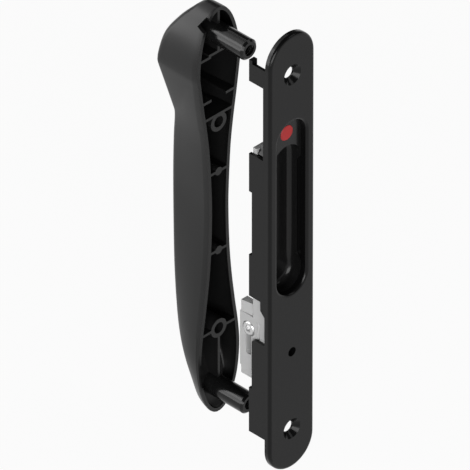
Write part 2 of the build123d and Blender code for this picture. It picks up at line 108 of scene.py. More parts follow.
# Steels: colour, roughness, specular level, and depth of the grain in metres
PLATED_STEEL = ((0.5, 0.5, 0.5), 0.35, 0.5, 2e-6)
BALL_STEEL = ((0.7, 0.7, 0.7), 0.12, 0.5, 1e-6)

# Posts of the handle: their roughness, and how far in front of the rim it starts, in metres
POST_ROUGHNESS, POST_POLISH_GAP = 0.16, 0.0001

# Pull handle, in millimetres: heights along Z, depths from the rim along Y
RIM_Y = 34.4
HEAD_Z, HEAD_TOP_Z = 61.1, 88.2
TAIL_Z, TAIL_END_Z = -63.0, -88.1
HEAD_HALF, TAIL_HALF = 10.75, 10.4
NECK_Z = 37.0
SCREW_Z = 77.2
UPPER_RING_Z, LOWER_RING_Z = 38.7, -51.5
STUD_Z = 17.2
STUB_Z, STUB_REACH = 49.6, 3.6
HEAD_RIB_Z, HEAD_RIB_STEP, HEAD_RIB_STEP_X = 69.3, 0.8, -3.8
SPINE_LOW_Z = -73.0
REBATE_Z, REBATE_DEPTH, REBATE_WALL = (-74.0, -63.6), 2.0, 0.8

# How far a tool runs past what it cuts or joins, and how far the features in the hollow
# run past the deepest part of the back
OVERRUN = 1.0
FEATURE_MARGIN = 5

# Side view of the notch beside the upper post: depth and height
NOTCH_PROFILE = ((-OVERRUN, 80.4), (0, 80.4), (3.4, 81.8), (1.3, 85.6), (-OVERRUN, 85.6))

# Sections of the grip: height, half-widths at the rim and at the back, depth,
# radius of the back corners and bulge of the sides
GRIP_SECTIONS = (
    (HEAD_Z, HEAD_HALF, 8.6, 15.6, 2.4, 0.4),
    (49.0, 9.1, 6.9, 17.2, 2.4, 0.45),
    (NECK_Z, 7.3, 5.2, 17.9, 2.4, 0.45),
    (27.0, 6.1, 4.6, 19.0, 2.2, 0.4),
    (14.0, 5.3, 4.4, 19.6, 2.0, 0.2),
    (1.0, 4.9, 4.4, 19.6, 1.8, 0.1),
    (-17.0, 5.4, 4.6, 19.4, 2.4, 0.3),
    (-30.0, 6.5, 4.9, 18.8, 3.0, 0.5),
    (-43.0, 8.2, 5.6, 17.2, 3.6, 0.6),
    (-54.0, 9.8, 6.6, 14.7, 4.2, 0.7),
    (TAIL_Z, TAIL_HALF, 8.0, 10.9, 4.6, 0.5),
)

# Sections round the ends: angle round the rim's half ellipse, share of the rim's
# half-width at the back, depth, corner radius and bulge
HEAD_SECTIONS = (
    (0, 1.01, 21.3, 1.6, 0.1),
    (25, 0.96, 19.0, 2.4, 0.3),
    (45, 0.94, 14.3, 2.4, 0.3),
    (62, 0.92, 10.2, 1.9, 0.2),
    (75, 0.9, 7.9, 1.2, 0.1),
    (85, 0.9, 6.1, 0.5, 0.05),
)
TAIL_SECTIONS = (
    (25, 0.78, 6.5, 2.6, 0.3),
    (45, 0.75, 5.5, 1.8, 0.2),
    (62, 0.75, 4.1, 1.2, 0.1),
    (75, 0.75, 2.8, 0.8, 0.08),
    (85, 0.75, 2.2, 0.4, 0.05),
)

# Wedge that folds the head into the grip: its section at the neck, how far it reaches
# below the neck, the stretch over which the fold's rounding grows, and the band that is
# smoothed above and below the head's lower edge
WEDGE_NECK = (5.6, 5.1, 17.8, 2.4, 0.45)
WEDGE_REACH = 12
FOLD_GROWTH = 6
FOLD_BAND = 3

# Most of the back and of the side that a rounded back corner may take
BACK_SHARE, SIDE_SHARE = 0.9, 0.6

# Mesh of the handle: points along a section's side and round its corner, step between
# levels, columns on the side, round the corner and across the back, and sides of its
# rods, its studs and the threads' ridge
SIDE_STEPS, CORNER_STEPS = 8, 8
CORNER_MIDDLE = SIDE_STEPS + 1 + CORNER_STEPS // 2
OUTER_STEP, OUTER_COLUMNS = 0.9, (12, 18, 8)
INNER_STEP, INNER_COLUMNS = 1.8, (8, 10, 5)
ROD_SIDES, STUD_SIDES, RIDGE_SIDES = 48, 32, 4

# Columns round the corner, in radians: how far they spread to each side, the least that
# they keep from the middle of the back, and the rounding that is let through
CORNER_SPREAD, BACK_GAP, ANGLE_TOLERANCE = 0.14, 0.02, 1e-9

# Levels of the head: angle of the highest in degrees, how many there are for each step
# of its height, and the power that crowds them towards the top
TOP_ANGLE, HEAD_DENSITY, HEAD_CROWDING = 87.5, 1.4, 0.8

# Angle past which an edge of the casting is sharp, in degrees
SHARP_ANGLE = 16


def finished_mesh(solid, name):
    """Mesh of a closed bmesh, with its faces turned outwards."""
    bmesh.ops.recalc_face_normals(solid, faces=solid.faces)
    mesh = bpy.data.meshes.new(name)
    solid.to_mesh(mesh)
    solid.free()
    return mesh


# Pull handle: its lofted shell

def row_at(rows, key):
    """Values at a key, on a cubic curve through rows that start with their keys."""
    last = len(rows) - 1
    low = max(i for i in range(last) if i == 0 or rows[i][0] <= key)

    def slope(i, column):
        before, after = rows[max(i - 1, 0)], rows[min(i + 1, last)]
        return (after[column] - before[column]) / (after[0] - before[0])

    start, end = rows[low], rows[low + 1]
    span = end[0] - start[0]
    t = (key - start[0]) / span
    return [
        start[c] * (2 * t ** 3 - 3 * t ** 2 + 1)
        + end[c] * (3 * t ** 2 - 2 * t ** 3)
        + span * slope(low, c) * (t ** 3 - 2 * t ** 2 + t)
        + span * slope(low + 1, c) * (t ** 3 - t ** 2)
        for c in range(1, len(start))
    ]


def half_outline(section, crease_bulge, crease_depth):
    """One side of a section from the crease to the middle of the back, as X and depth."""
    half, back_half, depth, radius, bulge = section
    share = min(1.0, depth / HEAD_SECTIONS[0][2])
    crease = Vector((half + crease_bulge * share, crease_depth * share))
    corner = Vector((back_half, depth))
    middle = (crease + corner) / 2 + Vector((bulge, 0))
    bend = 2 * middle - (crease + corner) / 2
    turn = (corner - bend).angle(Vector((-1, 0)))
    side_length = (corner - crease).length
    cut = min(radius * math.tan(turn / 2), BACK_SHARE * back_half, SIDE_SHARE * side_length)
    side_end = 1 - cut / side_length
    points = []
    for step in range(SIDE_STEPS + 1):
        t = side_end * step / SIDE_STEPS
        points.append((1 - t) ** 2 * crease + 2 * t * (1 - t) * bend + t ** 2 * corner)
    start, end = points[-1], Vector((back_half - cut, depth))
    weight = math.cos(turn / 2)
    for step in range(1, CORNER_STEPS + 1):
        t = step / CORNER_STEPS
        parts = ((1 - t) ** 2, 2 * weight * t * (1 - t), t ** 2)
        points.append((parts[0] * start + parts[1] * corner + parts[2] * end) / sum(parts))
    points.append(Vector((0, depth)))
    return points


def reach_at(outline, angle):
    """Distance from the middle of the rim to an outline, at an angle from the rim's plane."""
    across, deep = math.cos(angle), math.sin(angle)
    for a, b in zip(outline, outline[1:]):
        if math.atan2(b.y, b.x) >= angle - ANGLE_TOLERANCE:
            return (a.x * b.y - b.x * a.y) / (across * (b.y - a.y) - deep * (b.x - a.x))
    return outline[-1].y


def column_angles(outline, counts):
    """Angles of the columns from the crease to the back, close together round the corner."""
    low = math.atan2(outline[0].y, outline[0].x)
    corner = math.atan2(outline[CORNER_MIDDLE].y, outline[CORNER_MIDDLE].x)
    back = math.pi / 2
    knots = (low, corner - CORNER_SPREAD, min(corner + CORNER_SPREAD, back - BACK_GAP), back)
    angles = [low]
    for start, end, count in zip(knots, knots[1:], counts):
        angles += [start + (end - start) * (i + 1) / count for i in range(count)]
    return angles


def inset_section(section, inset, back_inset):
    """A section of the grip moved inwards from its sides and its back."""
    half, back_half, depth, radius, bulge = section
    corner_radius = max(radius - inset, radius / 2)
    return half - inset, back_half - inset, depth - back_inset, corner_radius, bulge


def inset_level(z, section, inset, back_inset, end_z, reach):
    """A level of a rounded end, moved inwards: its height and section."""
    half, back_half, depth, radius, bulge = section
    z = end_z + (z - end_z) * (1 - inset / reach)
    half, back_half = (v * (1 - inset / HEAD_HALF) for v in (half, back_half))
    return z, (half, back_half, depth - back_inset, max(radius - inset, radius / 2), bulge)


def head_levels(inset, back_inset, step):
    """Levels of the rounded head from its top down to the grip."""
    levels = []
    reach = HEAD_TOP_Z - HEAD_Z
    count = round(reach * HEAD_DENSITY / step)
    for i in range(count):
        angle = TOP_ANGLE * (1 - i / count) ** HEAD_CROWDING
        share, *rest = row_at(HEAD_SECTIONS, angle)
        half = HEAD_HALF * math.cos(math.radians(angle))
        z = HEAD_Z + reach * math.sin(math.radians(angle))
        section = (half, half * share, *rest)
        levels.append((*inset_level(z, section, inset, back_inset, HEAD_Z, reach), None))
    return levels


def grip_rows():
    """Sections of the grip and the tail, each after its distance along the rim."""
    sections = list(GRIP_SECTIONS)
    for angle, share, *rest in TAIL_SECTIONS:
        half = TAIL_HALF * math.cos(math.radians(angle))
        z = TAIL_Z - (TAIL_Z - TAIL_END_Z) * math.sin(math.radians(angle))
        sections.append((z, half, half * share, *rest))
    rows, travelled = [], 0.0
    for i, section in enumerate(sections):
        if i:
            travelled += math.dist(section[:2], sections[i - 1][:2])
        rows.append((travelled, *section))
    return rows


def wedge_at(z):
    """Section of the wedge that folds the head into the grip."""
    head_share, *head_rest = HEAD_SECTIONS[0][1:]
    wedge_top = (HEAD_HALF, HEAD_HALF * head_share, *head_rest)
    fall = (HEAD_Z - z) / (HEAD_Z - NECK_Z)
    return [top + (neck - top) * fall for top, neck in zip(wedge_top, WEDGE_NECK)]


def handle_levels(inset, back_inset, step):
    """Levels of the body from top to bottom: height, section, and the wedge's section there."""
    levels = head_levels(inset, back_inset, step)
    rows = grip_rows()
    length = rows[-1][0]
    count = round(length / step)
    for i in range(count + 1):
        z, *section = row_at(rows, length * i / count)
        if z < TAIL_Z:
            tail = inset_level(z, section, inset, back_inset, TAIL_Z, TAIL_Z - TAIL_END_Z)
            levels.append((*tail, None))
            continue
        wedge = None
        if z > NECK_Z - WEDGE_REACH:
            wedge = inset_section(wedge_at(z), inset, back_inset)
        levels.append((z, inset_section(section, inset, back_inset), wedge))
    return levels


def level_columns(sizes, z, section, wedge, counts):
    """Angle and reach of each column at a level, with the wedge blended in."""
    body = outline = half_outline(section, sizes.crease_bulge, sizes.crease_depth)
    if wedge:
        folded = half_outline(wedge, sizes.crease_bulge, sizes.crease_depth)
        soft = sizes.fold_softness * min(1.0, (HEAD_Z - z) / FOLD_GROWTH)
        if wedge[2] > section[2]:
            body = folded
    columns = []
    for angle in column_angles(body, counts):
        reach = reach_at(outline, angle)
        if wedge:
            other = reach_at(folded, angle)
            reach = (reach + other + math.hypot(reach - other, soft)) / 2
        columns.append((angle, reach))
    return columns


def soften_fold(rows):
    """Evens out the reaches of neighbouring levels near the head's lower edge."""
    reaches = [[reach for _, reach in columns] for _, _, columns in rows]
    for i in range(1, len(rows) - 1):
        if abs(rows[i][0] - HEAD_Z) < FOLD_BAND:
            rows[i][2] = [
                (angle, (above + 2 * reach + below) / 4)
                for (angle, _), above, reach, below
                in zip(rows[i][2], reaches[i - 1], reaches[i], reaches[i + 1])
            ]


def handle_solid(sizes, inset, back_inset, step, counts, front):
    """Closed solid of the handle's body, from a front plane to its back."""
    rows = []
    for z, section, wedge in handle_levels(inset, back_inset, step):
        rows.append([z, section[0], level_columns(sizes, z, section, wedge, counts)])
    for _ in range(sizes.fold_passes):
        soften_fold(rows)
    solid = bmesh.new()
    rings = []
    for z, half, columns in rows:
        right = [(half, front)] if front else []
        right += [(half, 0)]
        right += [(reach * math.cos(angle), reach * math.sin(angle)) for angle, reach in columns]
        ring = [(-x, y) for x, y in right[:-1]] + right[::-1]
        rings.append([solid.verts.new((x, RIM_Y + y, z)) for x, y in ring])
    for above, below in zip(rings, rings[1:]):
        for i in range(len(above)):
            j = (i + 1) % len(above)
            solid.faces.new((above[i], above[j], below[j], below[i]))
    solid.faces.new(rings[0])
    solid.faces.new(rings[-1])
    return finished_mesh(solid, "handle_solid")


# Tools that cut and join

def box_tool(x_range, y_range, z_range):
    """A box between two limits along each axis, with depths from the rim."""
    tool = bmesh.new()
    bmesh.ops.create_cube(tool, size=1)
    for vert in tool.verts:
        for axis, (low, high) in enumerate((x_range, y_range, z_range)):
            vert.co[axis] = low + (high - low) * (vert.co[axis] + 0.5)
        vert.co.y += RIM_Y
    return finished_mesh(tool, "box_tool")


def rod_tool(diameter, z, front, back, chamfer=0.0, sides=ROD_SIDES):
    """A rod along Y on the handle's middle plane, with depths from the rim."""
    tool = bmesh.new()
    radius = diameter / 2
    steps = [(front + chamfer, radius), (back, radius)]
    if chamfer:
        steps.insert(0, (front, radius - chamfer))
    turns = [2 * math.pi * i / sides for i in range(sides)]
    rings = []
    for depth, ring_radius in steps:
        rings.append([
            tool.verts.new((ring_radius * math.cos(a), RIM_Y + depth, z + ring_radius * math.sin(a)))
            for a in turns
        ])
    for near, far in zip(rings, rings[1:]):
        for i in range(sides):
            j = (i + 1) % sides
            tool.faces.new((near[i], near[j], far[j], far[i]))
    tool.faces.new(rings[0])
    tool.faces.new(rings[-1])
    return finished_mesh(tool, "rod_tool")


def prism_tool(profile, x_low, x_high):
    """A prism along X from a profile of depths and heights."""
    tool = bmesh.new()
    ends = [[tool.verts.new((x, RIM_Y + y, z)) for y, z in profile] for x in (x_low, x_high)]
    for i in range(len(profile)):
        j = (i + 1) % len(profile)
        tool.faces.new((ends[0][i], ends[0][j], ends[1][j], ends[1][i]))
    for end in ends:
        tool.faces.new(end)
    return finished_mesh(tool, "prism_tool")


def combined(base_mesh, tool_meshes, operation):
    """A mesh after cutting, joining or trimming it with tools."""
    scene = bpy.context.scene
    base = bpy.data.objects.new("base", base_mesh)
    scene.collection.objects.link(base)
    tools = bpy.data.collections.new("tools")
    scene.collection.children.link(tools)
    for mesh in tool_meshes:
        tools.objects.link(bpy.data.objects.new("tool", mesh))
    boolean = base.modifiers.new("combine", "BOOLEAN")
    boolean.solver = "EXACT"
    boolean.operation = operation
    boolean.operand_type = "COLLECTION"
    boolean.collection = tools
    graph = bpy.context.evaluated_depsgraph_get()
    result = bpy.data.meshes.new_from_object(base.evaluated_get(graph), depsgraph=graph)
    for tool in list(tools.objects):
        bpy.data.objects.remove(tool)
    bpy.data.collections.remove(tools)
    bpy.data.objects.remove(base)
    return result


# Finishes

def reckoned(tree, operation, *operands, clamp=False):
    """Output of a math node whose operands are sockets or plain numbers."""
    node = tree.nodes.new("ShaderNodeMath")
    node.operation = operation
    node.use_clamp = clamp
    for socket, operand in zip(node.inputs, operands):
        if isinstance(operand, bpy.types.NodeSocket):
            tree.links.new(operand, socket)
        else:
            socket.default_value = operand
    return node.outputs[0]


def cast_grain_group():
    """Fine orange-peel grain of a painted casting, with broad uneven gloss."""
    group = bpy.data.node_groups.new("Cast grain", "ShaderNodeTree")
    for label, value in (
        ("Grain scale", 2600.0),
        ("Patch scale", 60.0),
        ("Roughness", 0.4),
        ("Roughness spread", 0.05),
    ):
        socket = group.interface.new_socket(label, in_out="INPUT", socket_type="NodeSocketFloat")
        socket.default_value = value
    for label in ("Height", "Roughness"):
        group.interface.new_socket(label, in_out="OUTPUT", socket_type="NodeSocketFloat")
    nodes, links = group.nodes, group.links
    given, out = nodes.new("NodeGroupInput"), nodes.new("NodeGroupOutput")
    place = nodes.new("ShaderNodeTexCoord")
    grain = nodes.new("ShaderNodeTexNoise")
    grain.inputs["Detail"].default_value = 3.0
    patch = nodes.new("ShaderNodeTexNoise")
    patch.inputs["Detail"].default_value = 2.0
    for texture, scale in ((grain, "Grain scale"), (patch, "Patch scale")):
        links.new(place.outputs["Object"], texture.inputs["Vector"])
        links.new(given.outputs[scale], texture.inputs["Scale"])
    centred = reckoned(group, "SUBTRACT", patch.outputs["Fac"], 0.5)
    spread, middle = given.outputs["Roughness spread"], given.outputs["Roughness"]
    roughness = reckoned(group, "MULTIPLY_ADD", centred, spread, middle)
    links.new(grain.outputs["Fac"], out.inputs["Height"])
    links.new(roughness, out.inputs["Roughness"])
    return group


def painted(name, colour, roughness, specular, grain_depth):
    """A surface with a fine grain, as of satin paint, cast zinc or plastic."""
    material = bpy.data.materials.new(name)
    material.use_nodes = True
    nodes, links = material.node_tree.nodes, material.node_tree.links
    shader = nodes["Principled BSDF"]
    shader.inputs["Base Color"].default_value = (*colour, 1.0)
    shader.inputs["Specular IOR Level"].default_value = specular
    grain = nodes.new("ShaderNodeGroup")
    grain.node_tree = bpy.data.node_groups.get("Cast grain") or cast_grain_group()
    grain.inputs["Roughness"].default_value = roughness
    links.new(grain.outputs["Roughness"], shader.inputs["Roughness"])
    bump = nodes.new("ShaderNodeBump")
    bump.inputs["Strength"].default_value = 1.0
    bump.inputs["Distance"].default_value = grain_depth
    links.new(grain.outputs["Height"], bump.inputs["Height"])
    links.new(bump.outputs["Normal"], shader.inputs["Normal"])
    return material


def polish_in_front(material, limit_y, roughness, polished):
    """Makes what stands in front of a limit along Y glossier than the rest."""
    tree = material.node_tree
    place = tree.nodes.new("ShaderNodeTexCoord")
    split = tree.nodes.new("ShaderNodeSeparateXYZ")
    tree.links.new(place.outputs["Object"], split.inputs[0])
    front = reckoned(tree, "LESS_THAN", split.outputs["Y"], limit_y)
    gloss = reckoned(tree, "MULTIPLY_ADD", front, polished - roughness, roughness)
    grain = next(node for node in tree.nodes if node.type == "GROUP")
    tree.links.new(gloss, grain.inputs["Roughness"])


def metal(name, *finish):
    """Bare or plated steel."""
    material = painted(name, *finish)
    material.node_tree.nodes["Principled BSDF"].inputs["Metallic"].default_value = 1.0
    return material


def from_angles(azimuth, elevation):
    """Unit vector towards an azimuth, from the front towards +X, and an elevation."""
    flat = math.cos(elevation)
    return Vector((math.sin(azimuth) * flat, -math.cos(azimuth) * flat, math.sin(elevation)))


def dress(node, material):
    """Puts a finish on a CAD node."""
    piece = frame["nodes"][node]
    piece.data.materials.clear()
    piece.data.materials.append(material)


# Sizes, colours and light that a user would change

class LOCK_Finishes(bpy.types.PropertyGroup):
    """Colours of the lock."""

    plate_colour: FloatVectorProperty(
        name="Plate", description="Paint of the plate and channel", subtype="COLOR",
        default=(0.003, 0.003, 0.0031), min=0, max=1,
    )
    handle_colour: FloatVectorProperty(
        name="Handle", description="Paint of the pull handle", subtype="COLOR",
        default=(0.007, 0.007, 0.0071), min=0, max=1,
    )
    tray_colour: FloatVectorProperty(
        name="Tray", description="Paint of the finger tray", subtype="COLOR",
        default=(0.0065, 0.0065, 0.0066), min=0, max=1,
    )
    zinc_colour: FloatVectorProperty(
        name="Zinc", description="Bare zinc of the slide and latch block", subtype="COLOR",
        default=(0.46, 0.46, 0.46), min=0, max=1,
    )
    red_colour: FloatVectorProperty(
        name="Indicator", description="Red plastic of the indicator", subtype="COLOR",
        default=(0.34, 0.012, 0.013), min=0, max=1,
    )


class LOCK_Studio(bpy.types.PropertyGroup):
    """Camera and light."""

    azimuth: FloatProperty(
        name="Azimuth", description="Camera's turn round the lock",
        subtype="ANGLE", default=math.radians(-45),
    )
    elevation: FloatProperty(
        name="Elevation", description="Camera's height angle",
        subtype="ANGLE", default=math.atan(math.sqrt(0.5)),
    )
    target: FloatVectorProperty(
        name="Target", description="Point at the picture's centre",
        subtype="TRANSLATION", default=(0, 0.02621, -0.0066),
    )
    picture_width: FloatProperty(
        name="Picture width", description="Width that the picture shows",
        subtype="DISTANCE", default=0.16786,
    )
    lens: FloatProperty(
        name="Lens", description="Focal length in millimetres", default=1500,
    )
    ceiling: FloatProperty(
        name="Ceiling", description="Brightness overhead", default=0.1, min=0, max=1,
    )
    horizon: FloatProperty(
        name="Horizon", description="Brightness at the horizon", default=1.0, min=0, max=1,
    )
    band_low: FloatProperty(
        name="Band low", description="Sine of the elevation where the pale band starts to fade",
        default=0.1,
    )
    band_high: FloatProperty(
        name="Band high", description="Sine of the elevation where the pale band ends", default=0.18,
    )


class LOCK_Handle(bpy.types.PropertyGroup):
    """Sizes of the pull handle, in millimetres."""

    wall: FloatProperty(
        name="Wall", description="Thickness of the sides", default=1.5,
    )
    back_wall: FloatProperty(
        name="Back wall", description="Thickness of the back", default=1.9,
    )
    crease_bulge: FloatProperty(
        name="Crease bulge", description="How far the crease stands out from the rim", default=0.45,
    )
    crease_depth: FloatProperty(
        name="Crease depth", description="Depth of the crease behind the rim", default=2.1,
    )
    fold_softness: FloatProperty(
        name="Fold softness", description="Rounding of the fold under the head", default=0.15,
    )
    fold_passes: IntProperty(
        name="Fold passes", description="Smoothing passes across the head's lower edge",
        default=3, min=0,
    )
    rib: FloatProperty(
        name="Rib", description="Thickness of the ribs", default=1.1,
    )
    post_diameter: FloatProperty(
        name="Post", description="Diameter of the fixing posts", default=8.3,
    )
    post_reach: FloatProperty(
        name="Post reach", description="How far the posts stand out from the rim", default=15.5,
    )
    post_chamfer: FloatProperty(
        name="Post chamfer", description="Chamfer of the posts' free ends", default=0.8,
    )
    post_bore_depth: FloatProperty(
        name="Post bore depth", description="Depth of the tapped bores", default=17.0,
    )
    bore: FloatProperty(
        name="Bore", description="Diameter of the posts' and rings' bores", default=4.5,
    )
    ring: FloatProperty(
        name="Ring", description="Diameter of the ring bosses", default=7.8,
    )
    ring_bore_depth: FloatProperty(
        name="Ring bore depth", description="Depth of the rings' bores", default=9.0,
    )
    stud: FloatProperty(
        name="Stud", description="Diameter of the studs on the ribs", default=3.4,
    )
    thread_pitch: FloatProperty(
        name="Thread pitch", description="Pitch of the posts' threads", default=0.8,
    )
    thread_turns: FloatProperty(
        name="Thread turns", description="Turns of each thread", default=15.0,
    )
    thread_start: FloatProperty(
        name="Thread start", description="Depth of the first turn in the bore", default=0.7,
    )


# Pieces and stage

class LOCK_OT_pull_handle(bpy.types.Operator):
    """Builds the hollow pull handle with its fold, posts, bosses and ribs"""

    bl_idname = "lock.pull_handle"
    bl_label = "Pull handle"

    def execute(self, context):
        shell = self.casting(context.scene.lock_handle)
        handle = bpy.data.objects.new("handle_casting", shell)
        context.scene.collection.objects.link(handle)
        colour = context.scene.lock_finishes.handle_colour
        shell.materials.clear()
        finish = painted("black_handle", colour, *HANDLE_FINISH)
        polish_in_front(finish, RIM_Y * MM - POST_POLISH_GAP, HANDLE_FINISH[0], POST_ROUGHNESS)
        shell.materials.append(finish)
        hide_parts("pull_handle")
        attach(handle, "housing")
        return {"FINISHED"}

    def casting(self, sizes):
        """The hollow body with everything in it, as one mesh in metres."""
        outer = handle_solid(sizes, 0, 0, OUTER_STEP, OUTER_COLUMNS, 0)
        room = handle_solid(
            sizes, sizes.wall, sizes.back_wall, INNER_STEP, INNER_COLUMNS, -OVERRUN,
        )
        room = combined(room, self.inner_features(sizes), "DIFFERENCE")
        shell = combined(outer, [room], "DIFFERENCE")
        posts = [
            rod_tool(sizes.post_diameter, z, -sizes.post_reach, OVERRUN, sizes.post_chamfer)
            for z in (-SCREW_Z, SCREW_Z)
        ]
        shell = combined(shell, posts, "UNION")
        shell = combined(shell, self.cuts(sizes), "DIFFERENCE")
        for vert in shell.vertices:
            vert.co *= MM
        for face in shell.polygons:
            face.use_smooth = True
        shell.set_sharp_from_angle(angle=math.radians(SHARP_ANGLE))
        shell.name = "handle_casting"
        return shell

    def inner_features(self, sizes):
        """Ribs, studs, ring bosses and spines that fill parts of the hollow."""
        back = max(row[3] for row in GRIP_SECTIONS) + FEATURE_MARGIN
        side = HEAD_HALF + 2 * OVERRUN
        spine = (-sizes.rib / 2, sizes.rib / 2)

        def rib(z, x_low, x_high):
            return box_tool((x_low, x_high), (0, back), (z - sizes.rib / 2, z + sizes.rib / 2))

        tools = [
            rib(HEAD_RIB_Z - HEAD_RIB_STEP, -side, HEAD_RIB_STEP_X),
            rib(HEAD_RIB_Z, HEAD_RIB_STEP_X - sizes.rib, side),
            rib(UPPER_RING_Z + (sizes.ring - sizes.rib) / 2, -HEAD_HALF, HEAD_HALF),
            rib(LOWER_RING_Z, -HEAD_HALF, HEAD_HALF),
            rib(STUB_Z, -HEAD_HALF, -STUB_REACH),
            rib(STUB_Z, STUB_REACH, HEAD_HALF),
            box_tool(spine, (0, back), (SPINE_LOW_Z, LOWER_RING_Z)),
            box_tool(spine, (0, back), (HEAD_RIB_Z, HEAD_TOP_Z + 2 * OVERRUN)),
        ]
        for z in (-STUD_Z, STUD_Z):
            tools.append(rib(z, -HEAD_HALF, HEAD_HALF))
            tools.append(rod_tool(sizes.stud, z, 0, back, sides=STUD_SIDES))
        for z in (UPPER_RING_Z, LOWER_RING_Z):
            tools.append(rod_tool(sizes.ring, z, 0, back))
        for z in (-SCREW_Z, SCREW_Z):
            tools.append(rod_tool(sizes.post_diameter, z, 0, back))
        return tools

    def cuts(self, sizes):
        """Bores, the slanted notch and the rebate in the left rim."""
        tools = []
        for z in (UPPER_RING_Z, LOWER_RING_Z):
            tools.append(rod_tool(sizes.bore, z, -OVERRUN, sizes.ring_bore_depth))
        bore_start = -sizes.post_reach - OVERRUN
        bore_end = sizes.post_bore_depth - sizes.post_reach
        for z in (-SCREW_Z, SCREW_Z):
            tools.append(rod_tool(sizes.bore, z, bore_start, bore_end))
        left_of_post = -sizes.post_diameter / 2
        tools.append(prism_tool(NOTCH_PROFILE, -2 * HEAD_HALF, left_of_post))
        inner = handle_solid(sizes, REBATE_WALL, REBATE_WALL, INNER_STEP, INNER_COLUMNS, -OVERRUN)
        left = box_tool((-HEAD_HALF, left_of_post), (-OVERRUN / 2, REBATE_DEPTH), REBATE_Z)
        tools.append(combined(inner, [left], "INTERSECT"))
        return tools


def thread_tree():
    """Geometry nodes that wind a ridge round each bore's axis, along Y."""
    tree = bpy.data.node_groups.new("Thread ridges", "GeometryNodeTree")
    sockets = {}
    tree.interface.new_socket("Geometry", in_out="INPUT", socket_type="NodeSocketGeometry")
    for label, kind, value in (
        ("Radius", "NodeSocketFloat", 0.00225),
        ("Ridge", "NodeSocketFloat", 0.0002),
        ("Pitch", "NodeSocketFloat", 0.0008),
        ("Turns", "NodeSocketFloat", 15.0),
        ("Steps per turn", "NodeSocketInt", 24),
        ("Material", "NodeSocketMaterial", None),
    ):
        socket = tree.interface.new_socket(label, in_out="INPUT", socket_type=kind)
        if value is not None:
            socket.default_value = value
        sockets[label] = socket.identifier
    tree.interface.new_socket("Geometry", in_out="OUTPUT", socket_type="NodeSocketGeometry")
    nodes, links = tree.nodes, tree.links
    given, out = nodes.new("NodeGroupInput"), nodes.new("NodeGroupOutput")
    helix = nodes.new("GeometryNodeCurveSpiral")
    links.new(given.outputs["Steps per turn"], helix.inputs["Resolution"])
    links.new(given.outputs["Turns"], helix.inputs["Rotations"])
    links.new(given.outputs["Radius"], helix.inputs["Start Radius"])
    links.new(given.outputs["Radius"], helix.inputs["End Radius"])
    height = reckoned(tree, "MULTIPLY", given.outputs["Turns"], given.outputs["Pitch"])
    links.new(height, helix.inputs["Height"])
    ridge = nodes.new("GeometryNodeCurvePrimitiveCircle")
    ridge.inputs["Resolution"].default_value = RIDGE_SIDES
    links.new(given.outputs["Ridge"], ridge.inputs["Radius"])
    sweep = nodes.new("GeometryNodeCurveToMesh")
    sweep.inputs["Fill Caps"].default_value = True
    links.new(helix.outputs["Curve"], sweep.inputs["Curve"])
    links.new(ridge.outputs["Curve"], sweep.inputs["Profile Curve"])
    turned = nodes.new("GeometryNodeTransform")
    turned.inputs["Rotation"].default_value = (-math.pi / 2, 0, 0)
    links.new(sweep.outputs["Mesh"], turned.inputs["Geometry"])
    spread = nodes.new("GeometryNodeInstanceOnPoints")
    links.new(given.outputs["Geometry"], spread.inputs["Points"])
    links.new(turned.outputs["Geometry"], spread.inputs["Instance"])
    realised = nodes.new("GeometryNodeRealizeInstances")
    links.new(spread.outputs["Instances"], realised.inputs["Geometry"])
    finish = nodes.new("GeometryNodeSetMaterial")
    links.new(realised.outputs["Geometry"], finish.inputs["Geometry"])
    links.new(given.outputs["Material"], finish.inputs["Material"])
    links.new(finish.outputs["Geometry"], out.inputs["Geometry"])
    return tree, sockets


class LOCK_OT_post_threads(bpy.types.Operator):
    """Winds the thread ridges inside the two tapped posts"""

    bl_idname = "lock.post_threads"
    bl_label = "Post threads"

    def execute(self, context):
        mounts = [m for m in frame["record"]["mounts"] if m["name"].endswith("post_thread")]
        if len(mounts) != 2:
            raise RuntimeError("the two post threads aren't in the record")
        sizes = context.scene.lock_handle
        points = bpy.data.meshes.new("thread_starts")
        starts = [Vector(m["pos_m"]) + Vector((0, sizes.thread_start * MM, 0)) for m in mounts]
        points.from_pydata(starts, [], [])
        host = bpy.data.objects.new("thread_starts", points)
        context.scene.collection.objects.link(host)
        tree, sockets = thread_tree()
        winding = host.modifiers.new("threads", "NODES")
        winding.node_group = tree
        winding[sockets["Radius"]] = mounts[0]["dims"]["r_mm"] * MM
        winding[sockets["Pitch"]] = sizes.thread_pitch * MM
        winding[sockets["Turns"]] = sizes.thread_turns
        winding[sockets["Material"]] = bpy.data.materials["black_handle"]
        graph = context.evaluated_depsgraph_get()
        mesh = bpy.data.meshes.new_from_object(host.evaluated_get(graph), depsgraph=graph)
        bpy.data.objects.remove(host)
        for face in mesh.polygons:
            face.use_smooth = False
        threads = bpy.data.objects.new("post_threads", mesh)
        context.scene.collection.objects.link(threads)
        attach(threads, "housing")
        return {"FINISHED"}


class LOCK_OT_black_castings(bpy.types.Operator):
    """Paints the plate and the tray"""

    bl_idname = "lock.black_castings"
    bl_label = "Black castings"

    def execute(self, context):
        finishes = context.scene.lock_finishes
        dress("face_plate", painted("black_cast", finishes.plate_colour, *PLATE_FINISH))
        dress("finger_tray", painted("black_tray", finishes.tray_colour, *TRAY_FINISH))
        return {"FINISHED"}


